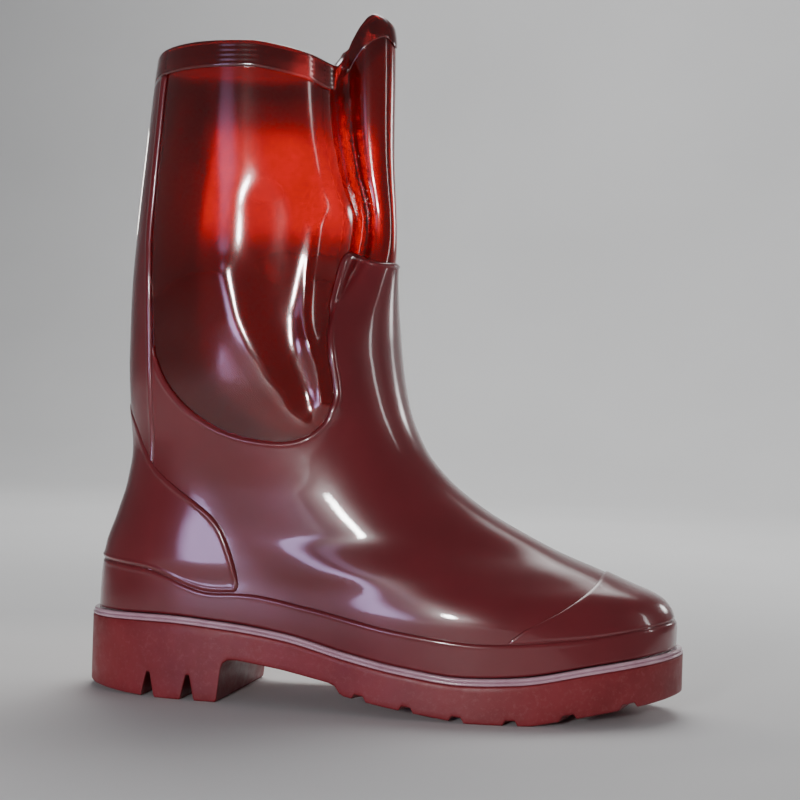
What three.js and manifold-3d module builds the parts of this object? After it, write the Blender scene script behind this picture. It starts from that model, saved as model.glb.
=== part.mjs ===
// A tall rubber work boot for the right foot, in millimetres.
//
// X runs from heel to toe, Y to the wearer's left, Z up from the ground. The boot is layered: a thin leg
// skin stands on the sole, and thicker sheets (vamp, backstay, counter, toe cap, foxing, collar) lie on it.
//
// The outer surface is a stack of level slices. A slice runs from the back profile to the front profile,
// and its half width depends on the share of the way from back to front and on the height.

import * as THREE from 'three';
import { mergeVertices } from 'three/addons/utils/BufferGeometryUtils.js';
import Module from 'manifold-3d';

const wasm = await Module();
wasm.setup();

// ---- Driving dimensions ----

const GAP = 0.3; // clearance between touching pieces
const SHEET = 1.5; // thickness of the vamp and backstay sheets
const LEG_WALL = 1.8; // thickness of the thin leg skin
const PAD = 1.1; // thickness of the counter and toe cap
const FOXING = 1.3; // thickness of the foxing band
const WELT_OUT = 4; // how far the welt and the sole stand out from the upper
const WELT_HEIGHT = 3.6;
const WELT_IN = 10; // how far the welt reaches in under the upper
const COLLAR_HEIGHT = 13;
const COLLAR_PROUD = 0.6; // how far the collar stands out from the outer surface
const RIM_LAP = 2.2; // how far the collar's rim stands over the leg skin
const COLLAR_PLAY = { side: 0.35, above: 0.4, skirt: 0.25 }; // room between the collar and the leg skin
const FOOTBED_THICK = 4;
const FOOTBED_PLAY = 2.6; // room between the footbed's edge and the leg skin
const SHANK = { from: 62, to: 158, width: 16, thick: 1.6, slot: 0.4 };
const HEEL = { from: 1, breast: 81, chamferEnd: 44, chamferRise: 3.5, topAtBreast: 21.5 };
const HEEL_NOTCHES = [43, 64.5];
const HEEL_NOTCH = { height: 12, bottom: 7, top: 1.6 };
const CLEAT_GROOVES = [156, 180, 204.5, 230, 255, 279];
const CLEAT_GROOVE = { depth: 2.4, bottom: 7, top: 4.5 };
const FOREFOOT_REST = [206, 234]; // the flat that rests on the ground under the ball
const FOOT_ENDS = [4, 302]; // x of the foot's heel and toe, at the welt
const TURN_IN = { sideways: 9, fromShare: 0.55, fullBelow: 45, goneAt: 110 }; // the toe turns in a little
const NORMAL_STEP = { turn: 0.03, lift: 0.6 }; // how far apart the points are that give the surface's slope
const COLUMNS = 40; // facets round the boot
const ROWS = 18; // facets up the boot
const ROW_BIAS = 1.35; // rows crowd towards the foot
const COUNTER_ROWS = 9; // rows that the heel counter, toe cap and foxing need
const TOE_CAP_ROWS = 6;
const FOXING_ROWS = 4;

// ---- Profiles: [height, x] for the back and front, [x, height] for the lines round the foot ----

const back = curve([
  [7, 6], [37, 4.6], [57, 5], [73, 7.4], [89, 12.9], [106, 17.6], [122, 19.3], [148, 17],
  [168, 16.1], [198, 16.7], [238, 19.5], [278, 23.6], [303, 26.1], [328, 29.3],
]);
const front = curve([
  [17, 300], [43, 301], [51, 298.8], [56.5, 295], [60, 289.5], [64, 279.5], [71, 262.4], [78, 244.2],
  [84.5, 230.4], [98.7, 204.5], [113, 185.8], [127.7, 173.4], [149.4, 164], [180, 158.8],
  [215, 156.3], [228, 156.9], [279, 154], [333, 152.9], [340, 151.9], [345, 149.3], [349, 145],
]);
const welt = curve([
  [0, 40.5], [50, 41.5], [82, 39.7], [114, 36], [146, 29.3], [174, 24.6], [205, 21.5], [230, 22.6],
  [265, 28.4], [306, 35],
]);
const foxingTop = curve([
  [0, 66], [38, 63.5], [75, 53.6], [91, 54.2], [124, 50], [174, 41.4], [215, 37.8], [255, 40.4], [302, 48],
]);
const topline = curve([
  [0, 320], [0.1, 323.5], [0.5, 324.8], [0.62, 323.1], [0.72, 320.8], [0.785, 318.2], [0.805, 329],
  [0.835, 336.3], [0.887, 343.8], [0.93, 347.4], [0.965, 346.2], [1, 341.5],
]);

// Half widths at seven stations from back to front, one list for each height.
const STATIONS = [0, 0.15, 0.35, 0.55, 0.75, 0.9, 1];
const WIDTHS = [
  [15, [70, 50, 39, 46.5, 57, 66, 78]],
  [45, [68, 50.5, 40.5, 48, 57, 60, 66]],
  [65, [62, 49.5, 40, 45.5, 50, 49, 49]],
  [85, [54, 47.5, 39.5, 41, 43.5, 42, 41]],
  [105, [50, 45.5, 40, 41.5, 42.5, 41.5, 41]],
  [128, [46, 45, 44, 44.5, 44.5, 44, 43.5]],
  [160, [50, 50, 50, 50, 50, 50, 50]],
  [220, [54, 54, 54, 54, 54, 54, 54]],
  [335, [57, 57, 57, 57, 57, 57, 57]],
];
const stationWidths = STATIONS.map((_, i) => curve(WIDTHS.map(([height, list]) => [height, list[i]])));

// The crease beside the shin bolster: where it runs, and the heights over which it sets in.
const crease = curve([[151, 126], [186, 125], [206, 130.3], [223.5, 135.2], [242, 136.6], [266, 130.8],
  [291, 126.5], [346, 123.2]]);
const CREASE_FROM = 170;
const CREASE_FULL = 238;
const CREASE_LAP = 4; // how far the side panel and the bolster lap each other
const CREASE_ROUND = 5;

// ---- Side outlines of the laid-on sheets, as [x, height] ----

// Inside of this line the vamp is cut away: up the backstay, round the U, over the ring of the shin.
const VAMP_WINDOW = [
  [37, 216], [37.6, 194], [39.2, 176], [44.4, 162.5], [54.2, 150.8], [62.7, 143.2],
  [76.2, 135.8], [87.7, 132], [104, 130.2], [114.7, 130.7], [123.3, 134], [130.2, 140.1], [133.9, 146.5],
  [135.2, 153], [132.8, 169.5], [130.4, 192.7], [132.1, 209.6], [134.5, 220.3], [137.2, 226],
  [140, 222.6], [149.3, 220.8],
];
const COUNTER_EDGE = [
  [26.7, 134.6], [33.1, 124.2], [39.6, 115.6], [53.9, 104.8], [64, 98.3], [73.1, 92.7], [79.1, 86],
  [83.6, 76.4], [86.9, 65.6], [89, 57],
];
const TOE_CAP_EDGE = [
  [226, 39.4], [232, 45.2], [240.5, 48.7], [250, 55], [258.5, 60.3], [264, 67.3], [266.6, 72],
];
const BACKSTAY_EDGE = [[38.5, 30], [39, 120], [38.6, 160], [37.6, 194], [37, 216], [36.7, 238.4], [42, 300],
  [47, 350]];
const FAR = 420; // beyond every face of the boot

// ---- Small tools ----

// A smooth curve through points that never swings past them, carried on straight at both ends.
function curve(points) {
  const last = points.length - 1;
  const run = (i) => points[i + 1][0] - points[i][0];
  const rise = (i) => (points[i + 1][1] - points[i][1]) / run(i);
  const slopes = points.map((_, i) => {
    if (i === 0) return rise(0);
    if (i === last) return rise(last - 1);
    if (rise(i - 1) * rise(i) <= 0) return 0;
    const before = 2 * run(i) + run(i - 1);
    const after = run(i) + 2 * run(i - 1);
    return (before + after) / (before / rise(i - 1) + after / rise(i));
  });
  return (at) => {
    if (at <= points[0][0]) return points[0][1] + slopes[0] * (at - points[0][0]);
    if (at >= points[last][0]) return points[last][1] + slopes[last] * (at - points[last][0]);
    const i = points.findLastIndex(([from]) => from <= at);
    const s = (at - points[i][0]) / run(i);
    return (1 + 2 * s) * (1 - s) ** 2 * points[i][1] + s * (1 - s) ** 2 * run(i) * slopes[i]
      + s * s * (3 - 2 * s) * points[i + 1][1] + s * s * (s - 1) * run(i) * slopes[i + 1];
  };
}

const mix = (from, to, share) => from + (to - from) * share;
const cap = (share) => Math.sqrt(Math.max(0, 1 - share * share)); // round end of a slice

// ---- The outer surface ----

function plainHalf(share, height) {
  const profile = curve(STATIONS.map((station, i) => [station, stationWidths[i](height)]));
  return profile(share);
}

// Half width of a slice at a share of the way from back to front.
function halfWidth(share, height) {
  const wide = plainHalf(share, height);
  const plain = wide * cap(2 * share - 1);
  const folded = THREE.MathUtils.smoothstep(height, CREASE_FROM, CREASE_FULL);
  if (folded === 0) return plain;
  const from = back(height);
  const to = front(height);
  const x = mix(from, to, share);
  const lap = crease(height) + CREASE_LAP / 2;
  const panelReach = (lap + CREASE_LAP / 2 - from) / 2;
  const panel = wide * cap((x - from - panelReach) / panelReach);
  const radius = (to - lap + CREASE_LAP / 2) / 2;
  const bolster = radius * cap((x - to + radius) / radius);
  const round = CREASE_ROUND * Math.min(1, Math.min(panel, bolster) / CREASE_ROUND) + 0.001;
  const lean = THREE.MathUtils.clamp(0.5 + (panel - bolster) / (2 * round), 0, 1);
  return mix(plain, mix(bolster, panel, lean) + round * lean * (1 - lean), folded);
}

// The angle goes round the boot: 0 is the heel line, pi the shin line.
const shareOf = (angle) => (1 - Math.cos(angle)) / 2;

function skinPoint(angle, height) {
  const share = shareOf(angle);
  const { sideways, fromShare, fullBelow, goneAt } = TURN_IN;
  const low = 1 - THREE.MathUtils.smoothstep(height, fullBelow, goneAt);
  const inward = THREE.MathUtils.smoothstep(share, fromShare, 1) * low;
  const side = Math.sin(angle) >= 0 ? -1 : 1;
  return new THREE.Vector3(
    mix(back(height), front(height), share),
    sideways * inward + side * halfWidth(share, height),
    height,
  );
}

// A point at a depth under the outer surface, measured along its normal.
function layerPoint(angle, height, depth) {
  const { turn, lift } = NORMAL_STEP;
  const round = skinPoint(angle + turn, height).sub(skinPoint(angle - turn, height));
  const up = skinPoint(angle, height + lift).sub(skinPoint(angle, height - lift));
  const inwards = up.cross(round).normalize();
  return skinPoint(angle, height).addScaledVector(inwards, depth);
}

const footX = (angle) => mix(...FOOT_ENDS, shareOf(angle));
const seat = (angle) => welt(footX(angle)) + GAP;
const rim = (angle) => topline(shareOf(angle));

// A closed solid from a grid of points: every row is a ring round the boot, and the last row joins the first.
// From a given row on, the facets' diagonals run the other way.
function ringSolid(rows, turned = rows.length) {
  const positions = rows.flat().flatMap((point) => point.toArray());
  const across = rows[0].length;
  const index = [];
  rows.forEach((_, r) => {
    const row = r * across;
    const next = ((r + 1) % rows.length) * across;
    for (let c = 0; c < across; c += 1) {
      const d = (c + 1) % across;
      if (r < turned) index.push(row + c, row + d, next + d, row + c, next + d, next + c);
      else index.push(row + c, row + d, next + c, row + d, next + d, next + c);
    }
  });
  const geometry = new THREE.BufferGeometry();
  geometry.setAttribute('position', new THREE.Float32BufferAttribute(positions, 3));
  geometry.setIndex(index);
  return geometry;
}

const angles = Array.from({ length: COLUMNS }, (_, c) => (2 * Math.PI * (c + 0.5)) / COLUMNS);

// A sheet between two depths, from the seat up. All sheets share the same rows, so that their facets lie
// parallel; the last row can be put somewhere else.
function sheet(outer, inner, rows = ROWS, top = null) {
  const ring = (r, depth) => angles.map((angle) => {
    const height = r === rows && top ? top(angle) : mix(seat(angle), rim(angle), (r / ROWS) ** ROW_BIAS);
    return layerPoint(angle, height, depth);
  });
  const outside = Array.from({ length: rows + 1 }, (_, r) => ring(r, outer));
  const inside = Array.from({ length: rows + 1 }, (_, r) => ring(rows - r, inner));
  return ringSolid([...outside, ...inside], outside.length);
}

// ---- Joining and cutting ----

function solid(geometry) {
  const bare = geometry.clone();
  bare.deleteAttribute('normal');
  bare.deleteAttribute('uv');
  const merged = mergeVertices(bare, 1e-4);
  const vertProperties = Float32Array.from(merged.attributes.position.array);
  const triVerts = Uint32Array.from(merged.index.array);
  return new wasm.Manifold(new wasm.Mesh({ numProp: 3, vertProperties, triVerts }));
}

function geometryOf(manifold) {
  const { vertProperties, triVerts, numProp } = manifold.getMesh();
  const geometry = new THREE.BufferGeometry();
  const points = new THREE.InterleavedBuffer(vertProperties, numProp);
  const position = new THREE.Float32BufferAttribute(vertProperties.length / numProp * 3, 3);
  for (let i = 0; i < points.count; i += 1) {
    const [x, y, z] = points.array.subarray(i * numProp, i * numProp + 3);
    position.setXYZ(i, x, y, z);
  }
  geometry.setAttribute('position', position);
  geometry.setIndex(Array.from(triVerts));
  return geometry;
}

// A block with a side outline, through the boot from right to left.
function sideBlock(outline, from = -FAR / 2, to = FAR / 2) {
  const shape = new THREE.Shape(outline.map(([x, z]) => new THREE.Vector2(x, z)));
  const geometry = new THREE.ExtrudeGeometry(shape, { depth: to - from, bevelEnabled: false });
  return solid(geometry.rotateX(Math.PI / 2).translate(0, to, 0));
}

// The outline of the foot at the welt, moved out by an offset.
function footOutline(offset) {
  return angles.map((angle) => {
    const height = welt(footX(angle));
    const { turn } = NORMAL_STEP;
    const along = skinPoint(angle + turn, height).sub(skinPoint(angle - turn, height)).normalize();
    const point = skinPoint(angle, height);
    return new THREE.Vector2(point.x + along.y * offset, point.y - along.x * offset);
  });
}

function footBlock(offset, holeOffset = null) {
  const shape = new THREE.Shape(footOutline(offset));
  if (holeOffset !== null) shape.holes.push(new THREE.Path(footOutline(holeOffset)));
  return solid(new THREE.ExtrudeGeometry(shape, { depth: 120, bevelEnabled: false }).translate(0, 0, -20));
}

// Points along a line round the foot, raised by a lift.
function line(heightAt, lift, from = -12, to = 320, steps = 24) {
  return Array.from({ length: steps + 1 }, (_, i) => {
    const x = mix(from, to, i / steps);
    return [x, heightAt(x) + lift];
  });
}

const between = (heightAt, low, high, from, to) =>
  sideBlock([...line(heightAt, low, from, to), ...line(heightAt, high, from, to).reverse()]);

// ---- The pieces ----

function outsole() {
  const { from, breast, chamferEnd, chamferRise, topAtBreast } = HEEL;
  const [restFrom, restTo] = FOREFOOT_REST;
  const underside = [
    [from - 15, chamferRise + 1.2], [from, chamferRise], [chamferEnd, 0], [breast - 1.5, 0],
    [breast + 1, topAtBreast - 3], [breast + 4, topAtBreast], [114, 18.2], [140, 13.9], [145, 8.5],
    [165, 5.2], [190, 2], [restFrom, 0], [restTo, 0], [262, 4.6], [292, 10.3], [320, 16.5],
  ];
  const topLine = line(welt, -WELT_HEIGHT).reverse();
  const body = footBlock(WELT_OUT).intersect(sideBlock([...underside, ...topLine]));
  const heelNotches = HEEL_NOTCHES.map((x) => taperedGroove(x, 0, HEEL_NOTCH.height, HEEL_NOTCH));
  const { depth } = CLEAT_GROOVE;
  const cleats = CLEAT_GROOVES.map((x) => taperedGroove(x, heightOn(underside, x), depth, CLEAT_GROOVE));
  return [...heelNotches, ...cleats, shankBlock(SHANK.slot)].reduce((rest, cut) => rest.subtract(cut), body);
}

function heightOn(outline, x) {
  const i = outline.findLastIndex(([at]) => at <= x);
  const [[x0, z0], [x1, z1]] = [outline[i], outline[i + 1]];
  return mix(z0, z1, (x - x0) / (x1 - x0));
}

function taperedGroove(x, ground, height, { bottom, top }) {
  return sideBlock([[x - bottom / 2, ground - 8], [x + bottom / 2, ground - 8], [x + bottom / 2, ground],
    [x + top / 2, ground + height], [x - top / 2, ground + height], [x - bottom / 2, ground]]);
}

// The shank, or with room added all round the slot that it lies in.
function shankBlock(room) {
  const top = -WELT_HEIGHT - (room ? -2 : GAP);
  const bottom = -WELT_HEIGHT - GAP - SHANK.thick - room;
  const outline = [...line(welt, bottom, SHANK.from - room, SHANK.to + room, 10),
    ...line(welt, top, SHANK.from - room, SHANK.to + room, 10).reverse()];
  return sideBlock(outline, -SHANK.width / 2 - room, SHANK.width / 2 + room);
}

const weltStrip = () => footBlock(WELT_OUT - 0.4, -WELT_IN).intersect(between(welt, GAP - WELT_HEIGHT, 0));
const insoleBoard = () => footBlock(-WELT_IN - GAP * 2).intersect(between(welt, GAP - WELT_HEIGHT, 0));

function footbed() {
  const edge = SHEET + GAP + LEG_WALL + FOOTBED_PLAY;
  return footBlock(-edge).intersect(between(welt, GAP * 2, GAP * 2 + FOOTBED_THICK));
}

const legDepth = SHEET + GAP;
const legShell = () => sheet(legDepth, legDepth + LEG_WALL, ROWS, (angle) => rim(angle) - RIM_LAP);

function vamp() {
  const heel = sideBlock([[-FAR, 0], ...BACKSTAY_EDGE.map(([x, z]) => [x + GAP, z]), [-FAR, FAR]]);
  const window = sideBlock([[30, FAR], [30, 216], ...VAMP_WINDOW, [200, 221.5], [200, FAR]]);
  return solid(sheet(0, SHEET)).subtract(window).subtract(heel);
}

function backstay() {
  const lower = (angle) => rim(angle) - COLLAR_HEIGHT - GAP;
  return solid(sheet(0, SHEET, ROWS, lower)).intersect(sideBlock([[-FAR, 0], ...BACKSTAY_EDGE, [-FAR, FAR]]));
}

function heelCounter() {
  const pad = solid(sheet(-GAP - PAD, -GAP, COUNTER_ROWS));
  const outline = [...line(foxingTop, GAP, -20, 88, 8), ...[...COUNTER_EDGE].reverse(), [-20, 146]];
  return pad.intersect(sideBlock(outline));
}

function toeCap() {
  const pad = solid(sheet(-GAP - PAD, -GAP, TOE_CAP_ROWS));
  const outline = [...line(foxingTop, GAP, 226, 330, 8), [330, 100], [268, 100],
    ...[...TOE_CAP_EDGE].reverse()];
  return pad.intersect(sideBlock(outline));
}

function foxingBand() {
  const band = solid(sheet(-GAP - FOXING, -GAP, FOXING_ROWS));
  return band.intersect(sideBlock([[-20, 0], ...line(foxingTop, -GAP), [330, 0]]));
}

// A binding that laps over the top edge of the leg, cut to clear the leg skin.
function collarBand() {
  const inside = legDepth + LEG_WALL;
  const face = -COLLAR_PROUD;
  const skirt = SHEET + COLLAR_PLAY.skirt; // the cut takes it back to the sheet's depth
  const section = [[face, COLLAR_HEIGHT], [face, 1], [face + 1, 0], [inside, 0], [inside, RIM_LAP],
    [skirt, RIM_LAP], [skirt, COLLAR_HEIGHT]];
  const band = ringSolid(section.map(([depth, drop]) =>
    angles.map((angle) => layerPoint(angle, rim(angle) - drop, depth))));
  const lower = (angle) => rim(angle) - RIM_LAP + COLLAR_PLAY.above;
  return solid(band).subtract(solid(sheet(legDepth - COLLAR_PLAY.side, inside + GAP, ROWS, lower)));
}

// ---- Assembly ----

const translucentRed = { color: 0x7a1418, roughness: 0.12, metalness: 0 };
const soleRed = { color: 0x9a4648, roughness: 0.5, metalness: 0 };
const weltRose = { color: 0xb06a6c, roughness: 0.4, metalness: 0 };
const boardGrey = { color: 0x8f8577, roughness: 0.9, metalness: 0 };
const steel = { color: 0x9a9a9c, roughness: 0.35, metalness: 1 };
const footbedRed = { color: 0x5a2024, roughness: 0.85, metalness: 0 };

const boot = new THREE.Group();

function add(name, shape, look) {
  const geometry = shape.isBufferGeometry ? shape : geometryOf(shape);
  const mesh = new THREE.Mesh(geometry, new THREE.MeshStandardMaterial(look));
  mesh.name = name;
  boot.add(mesh);
}

add('outsole', outsole(), soleRed);
add('welt_strip', weltStrip(), weltRose);
add('shank', shankBlock(0), steel);
add('insole_board', insoleBoard(), boardGrey);
add('leg_shell', legShell(), translucentRed);
add('vamp', vamp(), translucentRed);
add('backstay', backstay(), translucentRed);
add('heel_counter', heelCounter(), translucentRed);
add('toe_cap', toeCap(), translucentRed);
add('foxing_band', foxingBand(), translucentRed);
add('collar_band', collarBand(), translucentRed);
add('footbed', footbed(), footbedRed);

// The origin is on the ground, under the middle of the boot's box.
const box = new THREE.Box3().setFromObject(boot);
boot.position.set(-(box.min.x + box.max.x) / 2, -(box.min.y + box.max.y) / 2, -box.min.z);

export default boot;
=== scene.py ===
"""Looks of the tall rubber boot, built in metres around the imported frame.

Sizes below are in millimetres in the boot's own places: x runs from the heel's end to the toe, y to the
wearer's left, z up from the ground. Every sheet of the boot lies at a depth under one outer surface.
"""

import math

import bmesh
import bpy
import numpy as np
from mathutils import Matrix, Vector

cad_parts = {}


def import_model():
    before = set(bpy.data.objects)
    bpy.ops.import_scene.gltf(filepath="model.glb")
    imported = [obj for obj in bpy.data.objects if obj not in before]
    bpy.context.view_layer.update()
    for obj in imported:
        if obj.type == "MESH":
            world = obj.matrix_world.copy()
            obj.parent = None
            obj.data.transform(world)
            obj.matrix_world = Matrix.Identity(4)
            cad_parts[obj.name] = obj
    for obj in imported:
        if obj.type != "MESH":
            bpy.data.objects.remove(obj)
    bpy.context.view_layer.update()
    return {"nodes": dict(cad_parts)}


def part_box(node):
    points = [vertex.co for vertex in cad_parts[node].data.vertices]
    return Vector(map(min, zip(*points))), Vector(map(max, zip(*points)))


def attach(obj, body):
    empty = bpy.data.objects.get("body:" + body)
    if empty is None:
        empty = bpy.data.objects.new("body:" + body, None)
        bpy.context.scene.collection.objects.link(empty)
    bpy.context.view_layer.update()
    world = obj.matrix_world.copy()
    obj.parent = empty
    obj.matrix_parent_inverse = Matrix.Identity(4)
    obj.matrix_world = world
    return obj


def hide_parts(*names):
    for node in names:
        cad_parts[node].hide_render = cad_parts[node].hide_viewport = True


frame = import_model()

MM = 0.001
SOLE_BACK_END = 1.12  # x of the sole's rearmost point
SHIFT_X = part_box("outsole")[0][0] - SOLE_BACK_END * MM

# ---- Driving dimensions, millimetres ----

GAP = 0.3  # clearance between neighbouring pieces
SHEET = 1.5  # thickness of the vamp and of the backstay
LEG_WALL = 1.8
LEG_DEPTH = SHEET + GAP
PAD = 1.1  # how far the heel counter stands out
FOXING = 1.3
WELT_OUT = 4.0  # how far the welt and the sole stand out under the upper
WELT_HEIGHT = 3.6
WELT_IN = 10.0  # how far the welt reaches in under the upper
COLLAR_HEIGHT = 13.0
COLLAR_RIBS = 4
COLLAR_FACE = -0.12
COLLAR_RIB_DEPTH = 0.03
COLLAR_THINNER_IN_FRONT = 1.1  # over the bolster the binding is nearly flush with the leg skin
COLLAR_EDGE = 1.3  # radius of the binding's upper edge
RIM_LAP = 2.2  # how far the leg skin ends under the rim
FOOTBED_THICK = 4.0
FOOTBED_PLAY = 2.6
FOOTBED_CUP = 0.7  # how much lower the footbed's middle lies under the heel
FOOT_ENDS = (4, 302)  # x of the foot's heel and toe, at the welt
TURN_IN = 9.0  # how far the toe lies sideways of the heel
TURN_IN_FROM = 0.55  # share of the foot's length from which it turns in
TURN_IN_FULL_BELOW = 45
TURN_IN_GONE_AT = 110
NORMAL_TURN = 0.02  # how far apart the points are that give the surface's slope: an angle,
NORMAL_LIFT = 0.5  # and a height


LEVEL = 1e-9  # a rise smaller than this counts as none


def slopes_through(run, values):
    """Slopes at a curve's points. They are level where it turns, so that it never swings past its points."""
    rise = np.diff(values, axis=-1) / run
    slope = np.concatenate((rise[..., :1], np.zeros_like(rise[..., 1:]), rise[..., -1:]), -1)
    goes_on = rise[..., :-1] * rise[..., 1:] > 0
    before = 2 * run[1:] + run[:-1]
    after = run[1:] + 2 * run[:-1]
    safe = np.where(np.abs(rise) < LEVEL, LEVEL, rise)
    mean = (before + after) / (before / safe[..., :-1] + after / safe[..., 1:])
    slope[..., 1:-1] = np.where(goes_on, mean, 0)
    return slope


def cubic(share, run, start, end, start_slope, end_slope):
    """The value at a share of a run, from the values and slopes at its two ends."""
    value = (1 + 2 * share) * (1 - share) ** 2 * start + share * (1 - share) ** 2 * run * start_slope
    return value + (share * share * (3 - 2 * share) * end + share * share * (share - 1) * run * end_slope)


class Curve:
    """A smooth curve through points that never swings past them, carried on straight at both ends."""

    def __init__(self, points):
        self.x, self.y = np.array(points, float).T
        self.slope = slopes_through(np.diff(self.x), self.y)

    def __call__(self, at):
        at = np.asarray(at, float)
        x, y, slope = self.x, self.y, self.slope
        held = np.clip(at, x[0], x[-1])
        i = np.clip(np.searchsorted(x, held, side="right") - 1, 0, len(x) - 2)
        run = x[i + 1] - x[i]
        value = cubic((held - x[i]) / run, run, y[i], y[i + 1], slope[i], slope[i + 1])
        return value + np.where(at < x[0], slope[0], slope[-1]) * (at - held)


# x of the heel line and of the shin line at each height
back = Curve([
    (7, 6), (37, 4.6), (57, 5), (73, 7.4), (89, 12.9), (106, 17.6), (122, 19.3), (148, 17),
    (168, 16.1), (198, 16.7), (238, 19.5), (278, 23.6), (303, 26.1), (328, 29.3),
])
front = Curve([
    (17, 300), (43, 301), (51, 298.8), (56.5, 295), (60, 289.5), (64, 279.5), (71, 262.4), (78, 244.2),
    (84.5, 230.4), (98.7, 204.5), (113, 185.8), (127.7, 173.4), (149.4, 164), (180, 158.8),
    (215, 156.3), (228, 156.9), (279, 154), (333, 152.9), (340, 151.9), (345, 149.3), (349, 145),
])
# Heights along the boot: the welt's top and the foxing band's top at each x, the rim at each share
welt = Curve([
    (0, 40.5), (50, 41.5), (82, 39.7), (114, 36), (146, 29.3), (174, 24.6), (205, 21.5), (230, 22.6),
    (265, 28.4), (306, 35),
])
foxing_top = Curve([
    (0, 66), (38, 63.5), (75, 53.6), (91, 54.2), (124, 50), (174, 41.4), (215, 37.8), (255, 40.4), (302, 48),
])
topline = Curve([
    (0, 320), (0.1, 323.5), (0.5, 324.8), (0.62, 323.1), (0.72, 320.8), (0.785, 318.2), (0.805, 329),
    (0.835, 335.6), (0.887, 342.4), (0.93, 346.0), (0.965, 347.6), (0.985, 346.6), (1, 343.6),
])
# x of the crease at each height
crease = Curve([
    (151, 126), (186, 125), (206, 130.3), (223.5, 135.2), (242, 136.6), (266, 130.8), (291, 126.5),
    (346, 123.2),
])
CREASE_FROM = 170  # height at which the crease begins
CREASE_FULL = 238
CREASE_LAP = 4  # how far panel and bolster reach over each other
CREASE_ROUND = 5  # how softly they meet
NEVER_NIL = 0.001
PANEL_FLATNESS = 2.4  # 2 would be an ellipse: the side panel stays flat until close to the crease

# Folds of the soft side panel: a line of (x, height), how far it stands out, and how wide it is
FOLDS = [
    ([(80, 212), (87, 190), (93, 180), (104, 164), (115, 147), (122, 140)], 1.5, 9),
    ([(126, 236), (122.5, 210), (121.5, 192), (123, 181), (126.5, 168), (129, 156), (130.5, 149)], 3.2, 5.5),
    ([(103, 244), (103, 212), (105.5, 190), (112, 171), (119, 157)], -2.2, 12),
    ([(134, 262), (137, 247), (139, 238), (137.5, 229)], 0.9, 3),
]
FOLDS_FROM_WIDTH = 15  # half width under which the folds die out
FOLDS_BELOW_RIM = 300  # the folds fade out from this height
FOLDS_FADE = 15

# Half widths: at each height, one for each station, which is a share of the way from heel line to shin line
STATIONS = np.array([0, 0.15, 0.35, 0.55, 0.75, 0.9, 1])
WIDTHS = [
    (15, [70, 50, 39, 46.5, 57, 66, 78]),
    (45, [68, 50.5, 40.5, 48, 57, 60, 66]),
    (65, [62, 49.5, 40, 45.5, 50, 49, 49]),
    (85, [54, 47.5, 39.5, 41, 43.5, 42, 41]),
    (105, [50, 45.5, 40, 41.5, 42.5, 41.5, 41]),
    (128, [46, 45, 44, 44.5, 44.5, 44, 43.5]),
    (160, [50] * 7),
    (220, [54] * 7),
    (335, [57] * 7),
]
station_curves = [Curve([(height, widths[i]) for height, widths in WIDTHS]) for i in range(len(STATIONS))]


# ---- The outer surface ----

FAR_OFF = 1e9  # further than any place on the boot
NO_LENGTH = 1e-12


def smooth(low, high, value):
    """A soft step from 0 at low to 1 at high, whichever of the two is the larger number."""
    share = np.clip((value - low) / (high - low), 0, 1)
    return share * share * (3 - 2 * share)


def cap(share, power=2):
    """Height of a round cap: 1 at share 0, falling to nothing at -1 and 1. Power 2 makes it half a circle."""
    return np.clip(1 - np.abs(share) ** power, 0, 1) ** (1 / power)


def off_line(points, line):
    """How far points lie from a line, which is a list of points joined by straight runs."""
    nearest = np.full(points.shape[:-1], FAR_OFF)
    for a, b in zip(np.array(line, float)[:-1], np.array(line, float)[1:]):
        share = np.clip(((points - a) @ (b - a)) / ((b - a) @ (b - a)), 0, 1)
        nearest = np.minimum(nearest, np.linalg.norm(points - a - share[..., None] * (b - a), axis=-1))
    return nearest


def folds(x, height):
    """How far the folds push the surface out at a place."""
    places = np.stack(np.broadcast_arrays(x, height), -1)
    fading = 1 - smooth(FOLDS_BELOW_RIM, FOLDS_BELOW_RIM + FOLDS_FADE, height)
    return fading * sum(out * np.exp(-(off_line(places, line) / reach) ** 2) for line, out, reach in FOLDS)


def plain_half(share, height):
    """Half width before the round ends, from the stations on either side of the share."""
    values = np.stack([station(height) for station in station_curves], -1)
    run = np.diff(STATIONS)
    slope = slopes_through(run, values)
    i = np.clip(np.searchsorted(STATIONS, share, side="right") - 1, 0, len(STATIONS) - 2)
    picked = [np.take_along_axis(table, k[..., None], -1)[..., 0]
              for table in (values, slope) for k in (i, i + 1)]
    return cubic((share - STATIONS[i]) / run[i], run[i], *picked)


def half_width(share, height):
    """Half width of the boot. Over the ankle, the side panel and the narrow bolster meet in a soft crease."""
    wide = plain_half(share, height)
    plain = wide * cap(2 * share - 1)
    start, end = back(height), front(height)
    x = start + (end - start) * share
    lap = crease(height) + CREASE_LAP / 2
    reach = (lap + CREASE_LAP / 2 - start) / 2
    along = (x - start - reach) / reach
    panel = wide * np.where(along > 0, cap(along, PANEL_FLATNESS), cap(along))
    radius = (end - lap + CREASE_LAP / 2) / 2
    bolster = radius * cap((x - end + radius) / radius)
    rounding = np.minimum(CREASE_ROUND, np.minimum(panel, bolster)) + NEVER_NIL
    lean = np.clip(0.5 + (panel - bolster) / (2 * rounding), 0, 1)
    creased = bolster + (panel - bolster) * lean + rounding * lean * (1 - lean)
    full = plain + (creased - plain) * smooth(CREASE_FROM, CREASE_FULL, height)
    return full + folds(x, height) * np.clip(full / FOLDS_FROM_WIDTH, 0, 1)


def share_of(angle):
    """How far forward an angle lies: 0 on the heel line, 1 on the shin line."""
    return (1 - np.cos(angle)) / 2


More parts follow.
